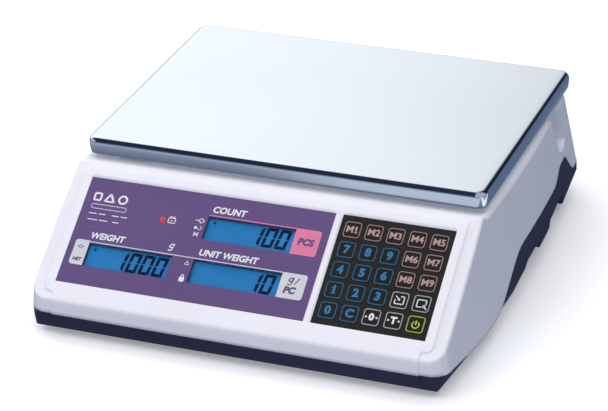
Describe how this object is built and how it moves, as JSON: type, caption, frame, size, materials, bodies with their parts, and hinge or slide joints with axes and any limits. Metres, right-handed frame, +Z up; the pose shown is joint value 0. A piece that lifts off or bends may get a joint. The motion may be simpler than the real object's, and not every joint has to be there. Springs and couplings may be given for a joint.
{
  "type": "counting scale",
  "caption": "Bench counting scale with a flat steel platter on a load cell, a sloping front panel with blue displays and a membrane keypad, and adjustable feet.",
  "frame": {"origin": "centre of the footprint, on the table under the feet", "axes": "+Z up, +X to the user's right, the control panel faces -Y"},
  "size_m": [0.3284, 0.346, 0.107],
  "materials": {
    "base_plastic": "fine-grained dark navy-grey moulding",
    "housing_plastic": "white moulding with a light satin gloss",
    "chassis_aluminium": "die-cast plate",
    "machined_aluminium": "machined and anodised",
    "cast_aluminium": "sand-blasted casting",
    "fastener_steel": "zinc plated",
    "board_green": "solder mask",
    "component_black": "moulded component cases",
    "lcd_glass": "backlit blue liquid crystal",
    "display_label": "purple printed film",
    "clear_window": "clear window",
    "keypad_film": "textured black printed film",
    "key_film": "embossed black printed film",
    "dome_metal": "sprung metal domes",
    "led_red": "lit red lamp",
    "battery_case": "sealed battery case",
    "wire_sheath": "insulated wires",
    "level_vial": "tinted level vial",
    "soft_rubber": "moulded rubber",
    "polished_steel": "bright polished stainless sheet"
  },
  "bodies": {
    "base": {"base_tray": "base_plastic", "upper_housing": "housing_plastic", "chassis_plate": "chassis_aluminium", "cell_spacer": "machined_aluminium", "load_cell": "machined_aluminium", "cell_bolts": "fastener_steel", "overload_stop": "fastener_steel", "main_board": "board_green", "board_components": "component_black", "display_board": "board_green", "lcd_modules": "lcd_glass", "display_overlay": "display_label", "window_lenses": "clear_window", "keypad_overlay": "keypad_film", "keypad_board": "board_green", "snap_domes": "dome_metal", "charge_led": "led_red", "battery": "battery_case", "wiring_harness": "wire_sheath", "dc_jack": "component_black", "bubble_level": "level_vial", "case_screws": "fastener_steel"},
    "key_m1_body": {"key_m1": "key_film"},
    "key_m2_body": {"key_m2": "key_film"},
    "key_m3_body": {"key_m3": "key_film"},
    "key_m4_body": {"key_m4": "key_film"},
    "key_m5_body": {"key_m5": "key_film"},
    "key_7_body": {"key_7": "key_film"},
    "key_8_body": {"key_8": "key_film"},
    "key_9_body": {"key_9": "key_film"},
    "key_m6_body": {"key_m6": "key_film"},
    "key_m7_body": {"key_m7": "key_film"},
    "key_4_body": {"key_4": "key_film"},
    "key_5_body": {"key_5": "key_film"},
    "key_6_body": {"key_6": "key_film"},
    "key_m8_body": {"key_m8": "key_film"},
    "key_m9_body": {"key_m9": "key_film"},
    "key_1_body": {"key_1": "key_film"},
    "key_2_body": {"key_2": "key_film"},
    "key_3_body": {"key_3": "key_film"},
    "key_sample_body": {"key_sample": "key_film"},
    "key_lookup_body": {"key_lookup": "key_film"},
    "key_0_body": {"key_0": "key_film"},
    "key_clear_body": {"key_clear": "key_film"},
    "key_zero_body": {"key_zero": "key_film"},
    "key_tare_body": {"key_tare": "key_film"},
    "key_power_body": {"key_power": "key_film"},
    "foot_fl_stud": {"foot_stud_fl": "fastener_steel"},
    "foot_fl_pad": {"foot_pad_fl": "soft_rubber"},
    "foot_fr_stud": {"foot_stud_fr": "fastener_steel"},
    "foot_fr_pad": {"foot_pad_fr": "soft_rubber"},
    "foot_rl_stud": {"foot_stud_rl": "fastener_steel"},
    "foot_rl_pad": {"foot_pad_rl": "soft_rubber"},
    "foot_rr_stud": {"foot_stud_rr": "fastener_steel"},
    "foot_rr_pad": {"foot_pad_rr": "soft_rubber"},
    "spider": {"spider": "cast_aluminium", "spider_bolts": "fastener_steel", "platter_bumpers": "soft_rubber"},
    "platter": {"platter": "polished_steel"},
    "battery_door": {"battery_door": "base_plastic"}
  },
  "joints": [
    {"name": "key_m1_press", "type": "slide", "parent": "base", "child": "key_m1_body", "axis": [0, 0.567, -0.8237], "range_m": [0, 0.0004], "stiffness_N_per_m": 3000, "springref_m": -0.0002},
    {"name": "key_m2_press", "type": "slide", "parent": "base", "child": "key_m2_body", "axis": [0, 0.567, -0.8237], "range_m": [0, 0.0004], "stiffness_N_per_m": 3000, "springref_m": -0.0002},
    {"name": "key_m3_press", "type": "slide", "parent": "base", "child": "key_m3_body", "axis": [0, 0.567, -0.8237], "range_m": [0, 0.0004], "stiffness_N_per_m": 3000, "springref_m": -0.0002},
    {"name": "key_m4_press", "type": "slide", "parent": "base", "child": "key_m4_body", "axis": [0, 0.567, -0.8237], "range_m": [0, 0.0004], "stiffness_N_per_m": 3000, "springref_m": -0.0002},
    {"name": "key_m5_press", "type": "slide", "parent": "base", "child": "key_m5_body", "axis": [0, 0.567, -0.8237], "range_m": [0, 0.0004], "stiffness_N_per_m": 3000, "springref_m": -0.0002},
    {"name": "key_7_press", "type": "slide", "parent": "base", "child": "key_7_body", "axis": [0, 0.567, -0.8237], "range_m": [0, 0.0004], "stiffness_N_per_m": 3000, "springref_m": -0.0002},
    {"name": "key_8_press", "type": "slide", "parent": "base", "child": "key_8_body", "axis": [0, 0.567, -0.8237], "range_m": [0, 0.0004], "stiffness_N_per_m": 3000, "springref_m": -0.0002},
    {"name": "key_9_press", "type": "slide", "parent": "base", "child": "key_9_body", "axis": [0, 0.567, -0.8237], "range_m": [0, 0.0004], "stiffness_N_per_m": 3000, "springref_m": -0.0002},
    {"name": "key_m6_press", "type": "slide", "parent": "base", "child": "key_m6_body", "axis": [0, 0.567, -0.8237], "range_m": [0, 0.0004], "stiffness_N_per_m": 3000, "springref_m": -0.0002},
    {"name": "key_m7_press", "type": "slide", "parent": "base", "child": "key_m7_body", "axis": [0, 0.567, -0.8237], "range_m": [0, 0.0004], "stiffness_N_per_m": 3000, "springref_m": -0.0002},
    {"name": "key_4_press", "type": "slide", "parent": "base", "child": "key_4_body", "axis": [0, 0.567, -0.8237], "range_m": [0, 0.0004], "stiffness_N_per_m": 3000, "springref_m": -0.0002},
    {"name": "key_5_press", "type": "slide", "parent": "base", "child": "key_5_body", "axis": [0, 0.567, -0.8237], "range_m": [0, 0.0004], "stiffness_N_per_m": 3000, "springref_m": -0.0002},
    {"name": "key_6_press", "type": "slide", "parent": "base", "child": "key_6_body", "axis": [0, 0.567, -0.8237], "range_m": [0, 0.0004], "stiffness_N_per_m": 3000, "springref_m": -0.0002},
    {"name": "key_m8_press", "type": "slide", "parent": "base", "child": "key_m8_body", "axis": [0, 0.567, -0.8237], "range_m": [0, 0.0004], "stiffness_N_per_m": 3000, "springref_m": -0.0002},
    {"name": "key_m9_press", "type": "slide", "parent": "base", "child": "key_m9_body", "axis": [0, 0.567, -0.8237], "range_m": [0, 0.0004], "stiffness_N_per_m": 3000, "springref_m": -0.0002},
    {"name": "key_1_press", "type": "slide", "parent": "base", "child": "key_1_body", "axis": [0, 0.567, -0.8237], "range_m": [0, 0.0004], "stiffness_N_per_m": 3000, "springref_m": -0.0002},
    {"name": "key_2_press", "type": "slide", "parent": "base", "child": "key_2_body", "axis": [0, 0.567, -0.8237], "range_m": [0, 0.0004], "stiffness_N_per_m": 3000, "springref_m": -0.0002},
    {"name": "key_3_press", "type": "slide", "parent": "base", "child": "key_3_body", "axis": [0, 0.567, -0.8237], "range_m": [0, 0.0004], "stiffness_N_per_m": 3000, "springref_m": -0.0002},
    {"name": "key_sample_press", "type": "slide", "parent": "base", "child": "key_sample_body", "axis": [0, 0.567, -0.8237], "range_m": [0, 0.0004], "stiffness_N_per_m": 3000, "springref_m": -0.0002},
    {"name": "key_lookup_press", "type": "slide", "parent": "base", "child": "key_lookup_body", "axis": [0, 0.567, -0.8237], "range_m": [0, 0.0004], "stiffness_N_per_m": 3000, "springref_m": -0.0002},
    {"name": "key_0_press", "type": "slide", "parent": "base", "child": "key_0_body", "axis": [0, 0.567, -0.8237], "range_m": [0, 0.0004], "stiffness_N_per_m": 3000, "springref_m": -0.0002},
    {"name": "key_clear_press", "type": "slide", "parent": "base", "child": "key_clear_body", "axis": [0, 0.567, -0.8237], "range_m": [0, 0.0004], "stiffness_N_per_m": 3000, "springref_m": -0.0002},
    {"name": "key_zero_press", "type": "slide", "parent": "base", "child": "key_zero_body", "axis": [0, 0.567, -0.8237], "range_m": [0, 0.0004], "stiffness_N_per_m": 3000, "springref_m": -0.0002},
    {"name": "key_tare_press", "type": "slide", "parent": "base", "child": "key_tare_body", "axis": [0, 0.567, -0.8237], "range_m": [0, 0.0004], "stiffness_N_per_m": 3000, "springref_m": -0.0002},
    {"name": "key_power_press", "type": "slide", "parent": "base", "child": "key_power_body", "axis": [0, 0.567, -0.8237], "range_m": [0, 0.0004], "stiffness_N_per_m": 3000, "springref_m": -0.0002},
    {"name": "foot_fl_screw_out", "type": "slide", "parent": "base", "child": "foot_fl_stud", "axis": [0, 0, -1], "range_m": [0, 0.005]},
    {"name": "foot_fl_turn", "type": "hinge", "parent": "foot_fl_stud", "child": "foot_fl_pad", "pos_m": [-0.126, -0.143, 0.002], "axis": [0, 0, -1], "range_deg": [0, 1440]},
    {"name": "foot_fr_screw_out", "type": "slide", "parent": "base", "child": "foot_fr_stud", "axis": [0, 0, -1], "range_m": [0, 0.005]},
    {"name": "foot_fr_turn", "type": "hinge", "parent": "foot_fr_stud", "child": "foot_fr_pad", "pos_m": [0.126, -0.143, 0.002], "axis": [0, 0, -1], "range_deg": [0, 1440]},
    {"name": "foot_rl_screw_out", "type": "slide", "parent": "base", "child": "foot_rl_stud", "axis": [0, 0, -1], "range_m": [0, 0.005]},
    {"name": "foot_rl_turn", "type": "hinge", "parent": "foot_rl_stud", "child": "foot_rl_pad", "pos_m": [-0.126, 0.138, 0.002], "axis": [0, 0, -1], "range_deg": [0, 1440]},
    {"name": "foot_rr_screw_out", "type": "slide", "parent": "base", "child": "foot_rr_stud", "axis": [0, 0, -1], "range_m": [0, 0.005]},
    {"name": "foot_rr_turn", "type": "hinge", "parent": "foot_rr_stud", "child": "foot_rr_pad", "pos_m": [0.126, 0.138, 0.002], "axis": [0, 0, -1], "range_deg": [0, 1440]},
    {"name": "weigh_deflection", "type": "slide", "parent": "base", "child": "spider", "axis": [0, 0, -1], "range_m": [0, 0.0004], "stiffness_N_per_m": 150000, "springref_m": -0.0001, "deforming": ["load_cell"]},
    {"name": "platter_lift_off", "type": "slide", "parent": "spider", "child": "platter", "axis": [0, 0, 1], "range_m": [0, 0.06]},
    {"name": "battery_door_slide", "type": "slide", "parent": "base", "child": "battery_door", "axis": [0, 1, 0], "range_m": [0, 0.09]}
  ],
  "couplings": [
    {"joint": "foot_fl_screw_out", "follows": "foot_fl_turn", "m_per_rad": 0.00019894},
    {"joint": "foot_fr_screw_out", "follows": "foot_fr_turn", "m_per_rad": 0.00019894},
    {"joint": "foot_rl_screw_out", "follows": "foot_rl_turn", "m_per_rad": 0.00019894},
    {"joint": "foot_rr_screw_out", "follows": "foot_rr_turn", "m_per_rad": 0.00019894}
  ]
}
